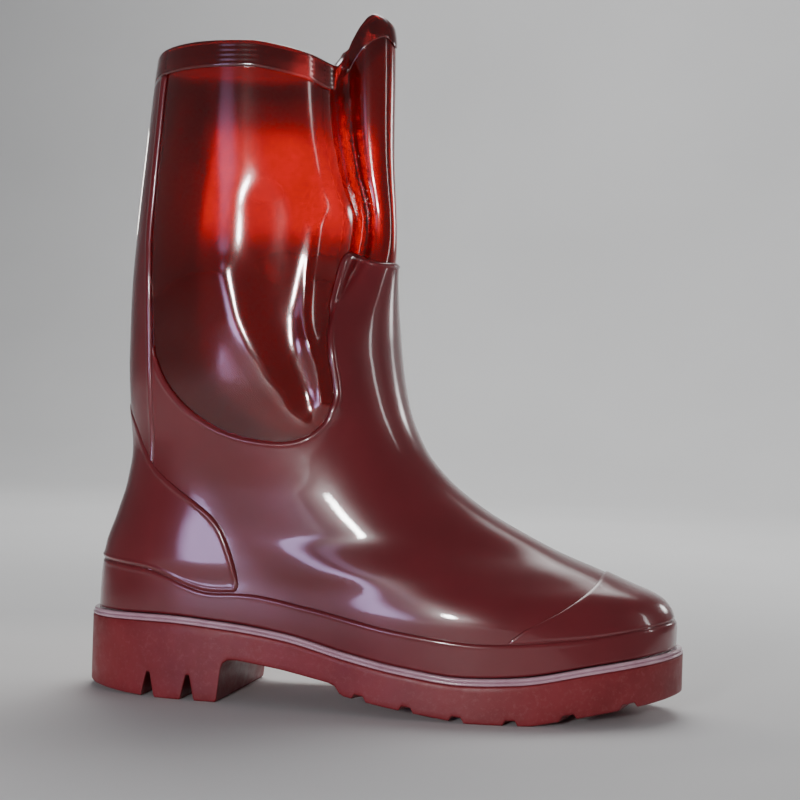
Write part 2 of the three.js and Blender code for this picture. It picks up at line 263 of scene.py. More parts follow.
def skin(angle, height):
    """Points of the outer surface: angle 0 is the heel line, pi the shin line, under pi the outer side."""
    share = share_of(angle)
    inward = smooth(TURN_IN_FROM, 1, share) * (1 - smooth(TURN_IN_FULL_BELOW, TURN_IN_GONE_AT, height))
    x = back(height) + (front(height) - back(height)) * share
    y = TURN_IN * inward - np.sign(np.sin(angle)) * half_width(share, height)
    return np.stack((x, y, np.broadcast_to(height, x.shape)), -1)


def layer(angle, height, depth):
    """Points at a depth under the outer surface, measured along its normal."""
    angle, height, depth = np.broadcast_arrays(np.asarray(angle, float), height, depth)
    along = skin(angle + NORMAL_TURN, height) - skin(angle - NORMAL_TURN, height)
    upward = skin(angle, height + NORMAL_LIFT) - skin(angle, height - NORMAL_LIFT)
    inward = np.cross(upward, along)
    inward /= np.linalg.norm(inward, axis=-1, keepdims=True)
    return skin(angle, height) + inward * depth[..., None]


def foot_x(angle):
    """x of the foot's outline at an angle."""
    return FOOT_ENDS[0] + (FOOT_ENDS[1] - FOOT_ENDS[0]) * share_of(angle)


def seat(angle):
    """Height at which the upper stands on the welt."""
    return welt(foot_x(angle)) + GAP


def rim(angle):
    """Height of the boot's top edge."""
    return topline(share_of(angle))


# ---- Mesh helpers ----

def new_object(name, points, faces):
    """A smooth-shaded object from points in the boot's own millimetres."""
    mesh = bpy.data.meshes.new(name)
    places = np.array(points, float) * MM
    places[:, 0] += SHIFT_X
    mesh.from_pydata(places.tolist(), [], [list(face) for face in faces])
    mesh.validate()
    piece = bpy.data.objects.new(name, mesh)
    bpy.context.scene.collection.objects.link(piece)
    mesh.polygons.foreach_set("use_smooth", [True] * len(mesh.polygons))
    return piece


WELD = 0.00002  # metres: points nearer than this become one


def tidy_mesh(piece):
    """Welds what meets and turns every face outwards."""
    work = bmesh.new()
    work.from_mesh(piece.data)
    bmesh.ops.remove_doubles(work, verts=work.verts, dist=WELD)
    bmesh.ops.dissolve_degenerate(work, edges=work.edges, dist=WELD / 4)
    bmesh.ops.recalc_face_normals(work, faces=work.faces)
    work.to_mesh(piece.data)
    work.free()
    return piece


def loft(name, rings, closed_rows=False, capped=False):
    """A surface through rings of points. closed_rows joins the last ring to the first."""
    rings = np.array(rings)
    rows, across = rings.shape[:2]
    faces = []
    for r in range(rows if closed_rows else rows - 1):
        low, high = r * across, ((r + 1) % rows) * across
        faces += [(low + c, low + (c + 1) % across, high + (c + 1) % across, high + c) for c in range(across)]
    if capped:
        faces.append(tuple(range(across - 1, -1, -1)))
        faces.append(tuple((rows - 1) * across + c for c in range(across)))
    return tidy_mesh(new_object(name, rings.reshape(-1, 3), faces))


def smooth_line(points, step=1.0):
    """A Catmull-Rom line through given points, as closely spaced points."""
    points = np.array(points, float)
    ends = np.vstack((2 * points[0] - points[1], points, 2 * points[-1] - points[-2]))
    out = []
    for i in range(1, len(ends) - 2):
        a, b, c, d = ends[i - 1:i + 3]
        count = max(2, int(np.linalg.norm(c - b) / step))
        s = np.linspace(0, 1, count, endpoint=False)[:, None]
        out.append(0.5 * (2 * b + (c - a) * s + (2 * a - 5 * b + 4 * c - d) * s ** 2
                          + (3 * b - a - 3 * c + d) * s ** 3))
    return np.vstack(out + [points[-1:]])


class Region:
    """A closed outline seen from the side, that measures how far inside it a point lies."""

    def __init__(self, outline):
        self.start = np.array(outline, float)
        self.end = np.roll(self.start, -1, axis=0)

    def depth(self, points):
        run = self.end - self.start
        length = np.maximum((run ** 2).sum(-1), NO_LENGTH)
        nearest = np.full(len(points), FAR_OFF)
        crossings = np.zeros(len(points), int)
        for a, step, size, b in zip(self.start, run, length, self.end):
            share = np.clip(((points - a) @ step) / size, 0, 1)
            nearest = np.minimum(nearest, np.linalg.norm(points - a - share[:, None] * step, axis=-1))
            spans = (a[1] > points[:, 1]) != (b[1] > points[:, 1])
            if abs(step[1]) > NO_LENGTH:
                crossings += spans & (points[:, 0] < a[0] + (points[:, 1] - a[1]) / step[1] * step[0])
        return np.where(crossings % 2 == 1, nearest, -nearest)


def side_view(angle, height):
    """Places on the surface as x and height."""
    x = back(height) + (front(height) - back(height)) * share_of(angle)
    return np.stack((x, height), -1)


EDGE_LEVELS = (0, 0.06, 0.22, 0.5, 0.85, 1.2, 1.7, 2.2, 2.8, 3.6)  # how far inside the edge the cuts run
PATCH_MARGIN = 6  # faces further outside a region than this are never made
SNAP = 0.02  # a cut this near a corner, as a share of the edge, goes through the corner


def cut_patch(angles, low, high, rows, outline):
    """A patch of the half boot inside an outline, cut along lines at set distances from the outline.

    Returns angle, height and inside distance of each point, and the faces."""
    region = Region(outline)
    share = np.linspace(0, 1, rows + 1)[:, None]
    heights = low(angles)[None] + (high(angles) - low(angles))[None] * share
    work = bmesh.new()
    field = work.verts.layers.float.new("inside")
    turns = np.broadcast_to(angles, heights.shape)
    inside = region.depth(side_view(turns.ravel(), heights.ravel()))
    verts = [work.verts.new((a, h, 0)) for a, h in zip(turns.ravel(), heights.ravel())]
    for vert, value in zip(verts, inside):
        vert[field] = value
    across = len(angles)
    for r in range(rows):
        for c in range(across - 1):
            i = r * across + c
            corners = (i, i + 1, i + across + 1, i + across)
            if inside[list(corners)].max() > -PATCH_MARGIN:
                work.faces.new([verts[k] for k in corners])
    for level in EDGE_LEVELS:
        fresh = set()
        for edge in list(work.edges):
            a, b = edge.verts
            fa, fb = a[field] - level, b[field] - level
            if fa * fb < 0:
                share_here = fa / (fa - fb)
                if share_here < SNAP:
                    a[field] = level
                    fresh.add(a)
                elif share_here > 1 - SNAP:
                    b[field] = level
                    fresh.add(b)
                else:
                    _, vert = bmesh.utils.edge_split(edge, a, share_here)
                    vert[field] = level
                    fresh.add(vert)
            else:
                fresh.update(vert for vert, away in ((a, fa), (b, fb)) if away == 0)
        for face in list(work.faces):
            on_line = [vert for vert in face.verts if vert in fresh]
            if len(on_line) == 2 and not work.edges.get(on_line):
                bmesh.utils.face_split(face, *on_line)
    outside = [face for face in work.faces if sum(vert[field] for vert in face.verts) / len(face.verts) < 0]
    bmesh.ops.delete(work, geom=outside, context="FACES")
    work.verts.index_update()
    table = np.array([(vert.co.x, vert.co.y, vert[field]) for vert in work.verts])
    faces = [[vert.index for vert in face.verts] for face in work.faces]
    work.free()
    return table[:, 0], table[:, 1], table[:, 2], faces


def boundary_edges(faces):
    """Edges that only one face has, in that face's direction."""
    seen = {}
    for face in faces:
        for a, b in zip(face, face[1:] + face[:1]):
            key = (min(a, b), max(a, b))
            seen[key] = None if key in seen else (a, b)
    return [edge for edge in seen.values() if edge]


ON_MIDDLE = 1e-6  # angle from the heel or shin line within which a point lies on it


def laid_sheet(name, patch, outer, inner):
    """A closed sheet on both sides of the boot.

    outer gives the depth of its face from the inside distance, x and height; inner is its back's depth."""
    angle, height, inside, faces = patch
    face_depth = outer(inside, *side_view(angle, height).T)
    on_middle = (angle < ON_MIDDLE) | (angle > math.pi - ON_MIDDLE)
    rim_edges = [(a, b) for a, b in boundary_edges(faces) if not (on_middle[a] and on_middle[b])]
    count = len(angle)
    points = []
    all_faces = []
    for turn in (1, -1):
        face_at = count * len(points)
        back_at = face_at + count
        points += [layer(turn * angle, height, depth) for depth in (face_depth, inner)]
        for base, flip in ((face_at, turn < 0), (back_at, turn > 0)):
            all_faces += [[base + i for i in (face[::-1] if flip else face)] for face in faces]
        all_faces += [[face_at + a, face_at + b, back_at + b, back_at + a] for a, b in rim_edges]
    return tidy_mesh(new_object(name, np.vstack(points), all_faces))


BEAD_AT = 1.7  # how far inside the edge its bead runs
BEAD_WIDTH = 0.7
SHEET_BACK = SHEET + 0.2  # the sheets reach a little into the room over the leg skin
PAD_BACK = -0.02  # the pads stand just off the sheets under them


def rolled(back_depth, thickness, radius, bead=0.0, fade=None):
    """Depth of a sheet's face: level, with a low bead along its edge and a quarter round down to its back.

    fade gives the share of the full thickness that is left at a place."""
    def depth(inside, x, height):
        share = np.clip(1 - inside / radius, 0, 1)
        left = 1 if fade is None else fade(x, height)
        round_edge = thickness * np.sqrt(1 - share ** 2)
        return back_depth - left * (round_edge + bead * np.exp(-((inside - BEAD_AT) / BEAD_WIDTH) ** 2))
    return depth


FAR = 420  # further out than any edge of the boot
thick_face = rolled(SHEET_BACK, SHEET_BACK, radius=1.3, bead=0.42)


def angles_over(start, end, spacing_mm, girth=60):
    """Angles from start to end, about spacing_mm apart where the surface is girth from the boot's middle."""
    count = max(8, int((end - start) * girth / spacing_mm))
    return np.linspace(start, end, count + 1)


# ---- Pieces ----

# Edges of the sheets, as lines of (x, height). The vamp's runs round the soft panel, then over the shin.
VAMP_WINDOW = [
    (36.7, 262), (36.7, 238.4), (37, 216), (37.6, 194), (39.2, 176), (44.4, 162.5), (52.4, 152),
    (62.7, 143.2), (76.2, 135.8), (89.7, 131.8), (104, 130.1), (114.7, 130.7), (123.3, 134),
    (129.8, 139.7), (133.9, 147), (135.1, 155), (132.8, 169.5), (130.6, 184), (130.4, 197),
    (132.1, 209.6), (134.5, 220.3),
]
VAMP_REAR = [(38.5, -FAR), (38.5, 100), (38.9, 178)]  # beside the backstay, up to the window
VAMP_REAR_TOP = 176  # the window's rear side counts only under this: above it lies the backstay's edge
PANEL_MIDDLE = 60  # x
RING_TOP = 221.6
RING = [(137.4, 225.4), (141.5, 223.6), (149.3, RING_TOP), (165, RING_TOP)]
BACKSTAY_EDGE = [
    (38.5, 20), (39, 120), (38.6, 160), (37.6, 194), (37, 216), (36.7, 238.4), (42, 300), (47, 360),
]
COUNTER_EDGE = [
    (16, 150), (26.7, 134.6), (33.1, 124.2), (41, 114.6), (53.9, 105.2), (64, 98.8), (73.1, 92.2), (79.1, 85),
    (83.6, 75.4), (86.9, 65.6), (88.6, 58),
]
TOE_CAP_EDGE = [
    (221, 36), (226, 39.8), (232, 44.6), (240.5, 49), (250, 54.6), (258.5, 61), (264, 67.6), (267.5, 76),
]
TOE_CAP_OUT = 0.7
PAD_OVER_FOXING = 0.4  # how far the pads stop over the foxing band


def round_boot(count):
    """Angles all the way round the boot."""
    return np.linspace(0, 2 * math.pi, count, endpoint=False)


def leg_shell():
    """The thin inner skin, from the welt up to the rim, open at both ends."""
    angle = round_boot(360)
    rows = np.linspace(0, 1, 150) ** 1.15  # closer together low down, where the skin bends most
    low, high = seat(angle), rim(angle) - RIM_LAP
    outside = [layer(angle, low + (high - low) * row, LEG_DEPTH) for row in rows]
    inside = [layer(angle, low + (high - low) * row, LEG_DEPTH + LEG_WALL) for row in rows[::-1]]
    return loft("leg_skin", outside + inside, closed_rows=True)


def same_height(height):
    """One height all round the boot."""
    return lambda angle: height + 0 * angle


def over_foxing(start, end):
    """A line just over the foxing band, from one x to another."""
    return [(x, foxing_top(x) + PAD_OVER_FOXING) for x in np.linspace(start, end, 30)]


def vamp():
    """The thick lower sheet, with the U round each soft panel and the ring across the shin."""
    window = smooth_line(VAMP_WINDOW + RING)
    outline = VAMP_REAR + [tuple(p) for p in window if p[1] < VAMP_REAR_TOP or p[0] > PANEL_MIDDLE]
    outline += [(FAR, RING_TOP), (FAR, -FAR)]
    angles = angles_over(0.35, math.pi, 2.2)
    patch = cut_patch(angles, seat, same_height(232), rows=96, outline=outline)
    return laid_sheet("vamp_sheet", patch, thick_face, SHEET_BACK)


def under_collar(angle):
    """Height at which the sheets end below the collar."""
    return rim(angle) - COLLAR_HEIGHT - GAP


def backstay():
    """The thick strip up the heel line."""
    edge = smooth_line([(x - 0.1, z) for x, z in BACKSTAY_EDGE], 4)
    outline = [(-FAR, -FAR)] + [tuple(p) for p in edge] + [(-FAR, 380)]
    angles = angles_over(0, 1.1, 2.2)
    patch = cut_patch(angles, seat, under_collar, rows=110, outline=outline)
    return laid_sheet("backstay_strip", patch, thick_face, SHEET_BACK)


def counter_thickness(x, height):
    """The counter gets thin towards its upper edge, and a little thinner towards the foxing band."""
    return (1 - 0.72 * smooth(88, 128, height)) * (1 - 0.5 * smooth(68, 58, height))


def heel_counter():
    """The pad round the heel, with a raised curved edge."""
    edge = [tuple(p) for p in smooth_line(COUNTER_EDGE)]
    corner = [(88.4, foxing_top(88) + 0.9)]
    outline = [(-60, 170)] + edge + corner + over_foxing(87, -30) + [(-60, foxing_top(-30))]
    angles = angles_over(0, 1.35, 1.8)
    patch = cut_patch(angles, same_height(48), same_height(146), rows=54, outline=outline)
    face = rolled(PAD_BACK, GAP + PAD, radius=1.2, bead=0.4, fade=counter_thickness)
    return laid_sheet("heel_counter_pad", patch, face, PAD_BACK)


def toe_cap():
    """The pad over the toe, with a soft edge."""
    outline = [tuple(p) for p in smooth_line(TOE_CAP_EDGE)] + [(268, 120), (360, 120)] + over_foxing(330, 222)
    angles = angles_over(1.9, math.pi, 1.2, girth=90)
    patch = cut_patch(angles, same_height(34), same_height(74), rows=34, outline=outline)
    return laid_sheet("toe_cap_pad", patch, rolled(PAD_BACK, TOE_CAP_OUT, radius=1.8), PAD_BACK)


def foxing_thickness(x, height):
    """The foxing band is full in the waist only, thinner round the heel and round the toe."""
    return 1 - 0.55 * smooth(205, 250, x) - 0.45 * smooth(110, 80, x)


def over_foxing_top(angle):
    """Height up to which the foxing band's patch is laid, before it is cut."""
    return foxing_top(foot_x(angle)) + 3


def foxing_band():
    """The band round the upper, just above the welt."""
    outline = [(-30, -FAR)] + [(x, foxing_top(x)) for x in np.linspace(-30, 340, 90)] + [(340, -FAR)]
    angles = angles_over(0, math.pi, 2.0, girth=110)
    patch = cut_patch(angles, seat, over_foxing_top, rows=16, outline=outline)
    face = rolled(PAD_BACK, GAP + FOXING, radius=1.3, bead=0.12, fade=foxing_thickness)
    return laid_sheet("foxing_strip", patch, face, PAD_BACK)


def collar_band():
    """A binding over the top edge: a rounded rim, fine ribs on its face, a skirt with a soft lower edge."""
    inside = LEG_DEPTH + LEG_WALL
    turn = np.linspace(0, math.pi / 2, 7)
    rim_round = [(1.1 - (1.1 - COLLAR_FACE) * math.sin(a), COLLAR_EDGE - COLLAR_EDGE * math.cos(a))
                 for a in turn]
    ribs_from, ribs_to = 2.2, COLLAR_HEIGHT - 1.4
    drops = np.linspace(ribs_from, ribs_to, COLLAR_RIBS * 10 + 1)
    wave = 0.5 - 0.5 * np.cos(2 * math.pi * COLLAR_RIBS * (drops - ribs_from) / (ribs_to - ribs_from))
    ribs = [(COLLAR_FACE + COLLAR_RIB_DEPTH * dip, drop) for drop, dip in zip(drops, wave)]
    bottom = [(COLLAR_FACE + 0.1, COLLAR_HEIGHT - 0.5), (COLLAR_FACE + 0.5, COLLAR_HEIGHT),
              (SHEET, COLLAR_HEIGHT)]
    inner = [(SHEET, RIM_LAP - GAP), (inside, RIM_LAP - GAP), (inside + 0.1, 1.0), (inside - 0.5, 0.25),
             (2.2, 0)]
    profile = rim_round + ribs + bottom + inner
    angle = round_boot(720)
    thinner = COLLAR_THINNER_IN_FRONT * smooth(0.78, 0.84, share_of(angle))
    rings = [layer(angle, rim(angle) - drop, depth + thinner * max(0, 1 - depth / SHEET))
             for depth, drop in profile]
    return loft("collar_binding", rings, closed_rows=True)


def foot_outline(angle, offset):
    """x and y of the foot's outline at the welt, moved out by an offset."""
    height = welt(foot_x(angle))
    along = skin(angle + NORMAL_TURN, height) - skin(angle - NORMAL_TURN, height)
    along /= np.linalg.norm(along[:, :2], axis=-1, keepdims=True)
    place = skin(angle, height)
    return place[:, 0] + along[:, 1] * offset, place[:, 1] - along[:, 0] * offset


def foot_edges(offset):
    """The outer and the inner side of the foot's outline, each from heel to toe."""
    angle = np.linspace(0, math.pi, 600)
    return [foot_outline(turn * angle, offset) for turn in (1, -1)]


def outline_at(x, offset):
    """y of the outer and of the inner side of the foot's outline at each x, moved out by an offset."""
    return [np.interp(x, px, py) for px, py in foot_edges(offset)]


def outline_ends(offset):
    """x just inside the rearmost and the foremost point of the foot's outline."""
    xs = np.concatenate([px for px, _ in foot_edges(offset)])
    return xs.min() + 0.03, xs.max() - 0.03


def crowded(start, end, count):
    """Places from start to end that crowd towards both ends, where the outline is round."""
    return start + (end - start) * (1 - np.cos(np.linspace(0, math.pi, count))) / 2


# The underside along the boot, as (x, height), and what is cut into it
UNDERSIDE = [
    (-14, 4.6), (1, 3.4), (30, 0.9), (44, 0), (79.0, 0), (79.9, 0.9), (81.6, 16.5), (82.6, 19.3), (85, 21.2),
    (90, 21.3), (114, 18.2), (138, 14.1), (141.2, 12.9), (143.6, 9.6), (146, 8.3), (165, 5.2), (190, 2),
    (206, 0.1), (210, 0), (234, 0), (238, 0.2), (262, 4.6), (292, 10.3), (320, 16.5),
]
HEEL_NOTCHES = (43, 64.5)
HEEL_NOTCH = {"bottom": 7.2, "top": 1.8, "height": 12.4}
CLEAT_GROOVES = (158, 182, 206.5, 232, 257, 281)
CLEAT_GROOVE = {"bottom": 7.0, "top": 4.5, "height": 2.4}
CLEAT_BOW = 8.5  # how far the grooves bow towards the toe at the middle
TREAD_FROM = 146
TREAD_HALF = 50  # half width over which the grooves bow
SOLE_EDGE = 1.2  # radius of the sole's lower and upper edges


def notch(x, centre, bottom, top, height):
    """Height that a groove with sloping walls adds to the underside."""
    away = np.abs(x - centre)
    return height * np.clip((bottom / 2 - away) / ((bottom - top) / 2), 0, 1)


def underside(x, y):
    """Height of the sole's underside, with its notches and grooves."""
    z = np.interp(x, *np.array(UNDERSIDE).T)
    for centre in HEEL_NOTCHES:
        z = np.maximum(z, notch(x, centre, **HEEL_NOTCH))
    bow = CLEAT_BOW * (1 - np.cos(np.clip(np.abs(y - 3) / TREAD_HALF, 0, 1) * math.pi / 2))
    for centre in CLEAT_GROOVES:
        z = z + notch(x + bow - CLEAT_BOW / 2, centre, **CLEAT_GROOVE) * (x > TREAD_FROM)
    return z


def outsole():
    """The sole, as sections across the boot: rounded lower edges, straight walls and rounded upper edges."""
    low, high = outline_ends(WELT_OUT)
    stations = np.unique(np.concatenate((crowded(low, high, 640), np.array(UNDERSIDE)[1:-1, 0])))
    outer, inner = outline_at(stations, WELT_OUT)
    across = np.linspace(0, 1, 41)
    corner = np.array([(0, 1), (0.08, 0.6), (0.3, 0.28), (0.62, 0.07)])
    wall = np.linspace(0, 1, 9)[1:, None]
    rings = []
    for x, y0, y1, top in zip(stations, outer, inner, welt(stations) - WELT_HEIGHT):
        r = min(SOLE_EDGE, (y1 - y0) * 0.2)
        y = y0 + r + (y1 - y0 - 2 * r) * across
        z = underside(np.full(len(y), x), y)
        near = np.column_stack((y0 + corner[:, 0] * r, z[0] + corner[:, 1] * r))
        far = np.column_stack((y1 - corner[:, 0] * r, z[-1] + corner[:, 1] * r))[::-1]
        near_wall = near[0] + ([y0, top - 0.7 * r] - near[0]) * wall
        far_wall = far[-1] + ([y1, top - 0.7 * r] - far[-1]) * wall
        near_lip = np.array([(y0 + 0.25 * r, top - 0.2 * r), (y0 + r, top)])
        far_lip = np.array([(y1 - 0.25 * r, top - 0.2 * r), (y1 - r, top)])
        bottom = np.column_stack((y, z))
        section = np.vstack((near_lip[::-1], near_wall[::-1], near, bottom, far, far_wall, far_lip))
        rings.append(np.column_stack((np.full(len(section), x), section)))
    return loft("sole_body", rings, capped=True)


def welt_strip():
    """A ring round the foot with two rounded lips, one over the other."""
    angle = round_boot(720)
    lips = []  # each by its middle's height, its half height and how far it stands out
    for centre, half, proud in ((0.92, 0.86, WELT_OUT + 0.1), (2.62, 0.88, WELT_OUT - 0.5)):
        lips += [(proud - 1.1 + 1.1 * math.cos(a), centre + half * math.sin(a))
                 for a in np.linspace(-1.4, 1.4, 9)]
    profile = [(-WELT_IN, 0.05), (1.5, 0.05)] + lips
    profile += [(1.2, WELT_HEIGHT - 0.1), (-WELT_IN, WELT_HEIGHT - 0.1)]
    rings = []
    for offset, rise in profile:
        x, y = foot_outline(angle, offset)
        rings.append(np.column_stack((x, y, welt(x) - WELT_HEIGHT + rise)))
    return loft("welt_lips", rings, closed_rows=True)


def footbed():
    """A die-cut foam sheet with rounded edges that follows the sole's rise, a little cupped at the heel."""
    inset = -(LEG_DEPTH + LEG_WALL + FOOTBED_PLAY)
    low, high = outline_ends(inset)
    stations = crowded(low, high, 260)
    outer, inner = outline_at(stations, inset)
    turn = np.linspace(-math.pi / 2, math.pi / 2, 9)
    rings = []
    for x, y0, y1 in zip(stations, outer, inner):
        r = min(FOOTBED_THICK / 2, (y1 - y0) * 0.45)
        base = float(welt(x)) + 2 * GAP
        y = np.linspace(y0 + r, y1 - r, 25)
        middle, half = (y0 + y1) / 2, max((y1 - y0) / 2, 0.1)
        cup = FOOTBED_CUP * smooth(90, 30, x) * (1 - ((y - middle) / half) ** 2)
        top = np.column_stack((y, base + FOOTBED_THICK - cup))[::-1]
        bottom = np.column_stack((y, np.full(len(y), base)))
        right = np.column_stack((y1 - r + r * np.cos(turn), base + FOOTBED_THICK / 2 * (1 + np.sin(turn))))
        left = np.column_stack((y0 + r - r * np.cos(turn), base + FOOTBED_THICK / 2 * (1 - np.sin(turn))))
        section = np.vstack((bottom, right[1:-1], top, left[1:-1]))
        rings.append(np.column_stack((np.full(len(section), x), section)))
    return loft("footbed_sheet", rings, capped=True)


# ---- Materials ----

def material(name):
    """A new material, its shader, and its node and link lists."""
    look = bpy.data.materials.new(name)
    look.use_nodes = True
    nodes, links = look.node_tree.nodes, look.node_tree.links
    return look, nodes["Principled BSDF"], nodes, links


def noise(nodes, links, scale, detail=4, roughness=0.55, stretch=(1, 1, 1)):
    """A noise in the boot's own places, with its size in features per metre."""
    places = nodes.new("ShaderNodeTexCoord")
    mapping = nodes.new("ShaderNodeMapping")
    mapping.inputs["Scale"].default_value = stretch
    texture = nodes.new("ShaderNodeTexNoise")
    texture.inputs["Scale"].default_value = scale
    texture.inputs["Detail"].default_value = detail
    texture.inputs["Roughness"].default_value = roughness
    links.new(places.outputs["Object"], mapping.inputs["Vector"])
    links.new(mapping.outputs["Vector"], texture.inputs["Vector"])
    return texture.outputs["Fac"]


def ramp(nodes, links, value, stops):
    """A value turned into colours by stops of (value, colour)."""
    node = nodes.new("ShaderNodeValToRGB")
    elements = node.color_ramp.elements
    while len(elements) < len(stops):
        elements.new(0.5)
    for element, (place, colour) in zip(elements, stops):
        element.position = place
        element.color = (*colour, 1)
    links.new(value, node.inputs["Fac"])
    return node.outputs["Color"]


def grey(value):
    return (value, value, value)


def bump(nodes, links, height, strength, distance, below=None):
    """Bumps of so many metres, laid over the bumps below them if there are any."""
    node = nodes.new("ShaderNodeBump")
    node.inputs["Strength"].default_value = strength
    node.inputs["Distance"].default_value = distance
    links.new(height, node.inputs["Height"])
    if below:
        links.new(below, node.inputs["Normal"])
    return node.outputs["Normal"]


def pvc(name, deep, lit, transmission, roughness, waviness=0.22):
    """Glossy translucent PVC, its colour drifting between deep and lit.

    Its body blurs what shows through, and a clear coat keeps the sharp gloss."""
    look, shader, nodes, links = material(name)
    drift = noise(nodes, links, 16, 4, 0.5)
    links.new(ramp(nodes, links, drift, [(0.32, deep), (0.68, lit)]), shader.inputs["Base Color"])
    shader.inputs["Transmission Weight"].default_value = transmission
    shader.inputs["IOR"].default_value = 1.5
    shader.inputs["Coat Weight"].default_value = 1.0
    shader.inputs["Coat Roughness"].default_value = 0.035
    rubs = noise(nodes, links, 260, 5, 0.7, (1, 1, 0.25))
    links.new(ramp(nodes, links, rubs, [(0.4, grey(roughness)), (0.8, grey(roughness + 0.05))]),
              shader.inputs["Roughness"])
    waves = bump(nodes, links, noise(nodes, links, 42, 2, 0.4), waviness, 0.0008)
    peel = bump(nodes, links, noise(nodes, links, 900, 2, 0.5), 0.05, 0.0002, waves)
    links.new(peel, shader.inputs["Normal"])
    links.new(peel, shader.inputs["Coat Normal"])
    return look


def sole_rubber():
    """Opaque brick-coloured PVC, semi-matt, with pale dust in its grain."""
    look, shader, nodes, links = material("sole_brick")
    drift = ramp(nodes, links, noise(nodes, links, 30, 6, 0.6),
                 [(0.3, (0.185, 0.012, 0.015)), (0.7, (0.275, 0.026, 0.032))])
    dust = ramp(nodes, links, noise(nodes, links, 420, 6, 0.75), [(0.52, grey(0)), (0.85, grey(0.5))])
    mix = nodes.new("ShaderNodeMix")
    mix.data_type = "RGBA"
    links.new(dust, mix.inputs["Factor"])
    links.new(drift, mix.inputs["A"])
    mix.inputs["B"].default_value = (0.36, 0.13, 0.13, 1)
    links.new(mix.outputs["Result"], shader.inputs["Base Color"])
    links.new(ramp(nodes, links, noise(nodes, links, 160, 5, 0.6), [(0.3, grey(0.34)), (0.75, grey(0.58))]),
              shader.inputs["Roughness"])
    soft = bump(nodes, links, noise(nodes, links, 60, 3, 0.5), 0.3, 0.0008)
    grain = bump(nodes, links, noise(nodes, links, 1500, 3, 0.6), 0.25, 0.0002, soft)
    links.new(grain, shader.inputs["Normal"])
    return look


def welt_rubber():
    """Glossy pale rose PVC."""
    look, shader, nodes, links = material("welt_rose")
    colour = ramp(nodes, links, noise(nodes, links, 70, 4, 0.6),
                  [(0.3, (0.50, 0.27, 0.33)), (0.7, (0.64, 0.41, 0.48))])
    links.new(colour, shader.inputs["Base Color"])
    links.new(ramp(nodes, links, noise(nodes, links, 240, 4, 0.6), [(0.3, grey(0.14)), (0.8, grey(0.28))]),
              shader.inputs["Roughness"])
    shader.inputs["Coat Weight"].default_value = 0.6
    shader.inputs["Coat Roughness"].default_value = 0.1
    links.new(bump(nodes, links, noise(nodes, links, 500, 3, 0.5), 0.12, 0.0002), shader.inputs["Normal"])
    return look


def felt():
    """The felted face of the footbed."""
    look, shader, nodes, links = material("footbed_felt")
    colour = ramp(nodes, links, noise(nodes, links, 700, 6, 0.8),
                  [(0.3, (0.06, 0.018, 0.02)), (0.75, (0.16, 0.05, 0.052))])
    links.new(colour, shader.inputs["Base Color"])
    shader.inputs["Roughness"].default_value = 0.95
    shader.inputs["Sheen Weight"].default_value = 0.35
    shader.inputs["Sheen Roughness"].default_value = 0.5
    links.new(bump(nodes, links, noise(nodes, links, 1800, 5, 0.8), 0.6, 0.0004), shader.inputs["Normal"])
    return look


def board():
    """Pressed fibre board."""
    look, shader, nodes, links = material("insole_fibre_board")
    colour = ramp(nodes, links, noise(nodes, links, 300, 6, 0.75),
                  [(0.3, (0.15, 0.07, 0.06)), (0.75, (0.24, 0.12, 0.10))])
    links.new(colour, shader.inputs["Base Color"])
    shader.inputs["Roughness"].default_value = 0.9
    links.new(bump(nodes, links, noise(nodes, links, 1200, 4, 0.7), 0.4, 0.0003), shader.inputs["Normal"])
    return look


def rolled_steel():
    """Plain steel strip with rolling marks along it."""
    look, shader, nodes, links = material("shank_rolled_steel")
    colour = ramp(nodes, links, noise(nodes, links, 500, 5, 0.7, (0.05, 1, 1)),
                  [(0.3, (0.42, 0.42, 0.43)), (0.7, (0.62, 0.62, 0.63))])
    links.new(colour, shader.inputs["Base Color"])
    shader.inputs["Metallic"].default_value = 1
    links.new(ramp(nodes, links, noise(nodes, links, 300, 4, 0.6), [(0.3, grey(0.28)), (0.8, grey(0.48))]),
              shader.inputs["Roughness"])
    return look


# ---- Assembly ----

def dress(piece, look, slot, *nodes, body="boot"):
    """Gives a piece its material and its body, and hides the CAD nodes that it replaces. The slot is not
    used.
    """
    piece.data.materials.clear()
    piece.data.materials.append(look)
    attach(piece, body)
    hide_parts(*nodes)
    return piece


leg_pvc = pvc("leg_pvc", (0.34, 0.006, 0.005), (0.48, 0.011, 0.009),
              transmission=0.88, roughness=0.14, waviness=0.1)
thick_pvc = pvc("thick_pvc", (0.25, 0.018, 0.025), (0.35, 0.030, 0.040), transmission=0.5, roughness=0.28)
collar_pvc = pvc("collar_pvc", (0.24, 0.007, 0.007), (0.34, 0.012, 0.012), transmission=0.82, roughness=0.14)
sole = sole_rubber()

dress(leg_shell(), leg_pvc, "leg_skin", "leg_shell")
dress(vamp(), thick_pvc, "thick_skin", "vamp")
dress(backstay(), thick_pvc, "thick_skin", "backstay")
dress(heel_counter(), thick_pvc, "thick_skin", "heel_counter")
dress(toe_cap(), thick_pvc, "thick_skin", "toe_cap")
dress(foxing_band(), thick_pvc, "thick_skin", "foxing_band")
dress(collar_band(), collar_pvc, "thick_skin", "collar_band")
dress(outsole(), sole, "sole_rubber", "outsole")
dress(welt_strip(), welt_rubber(), "welt_rubber", "welt_strip")
foam = dress(footbed(), felt(), "footbed_foam", "footbed", body="footbed")

for node, look in (("insole_board", board()), ("shank", rolled_steel())):
    carried = frame["nodes"][node]
    carried.data.materials.clear()
    carried.data.materials.append(look)


# ---- Floor, light and camera ----

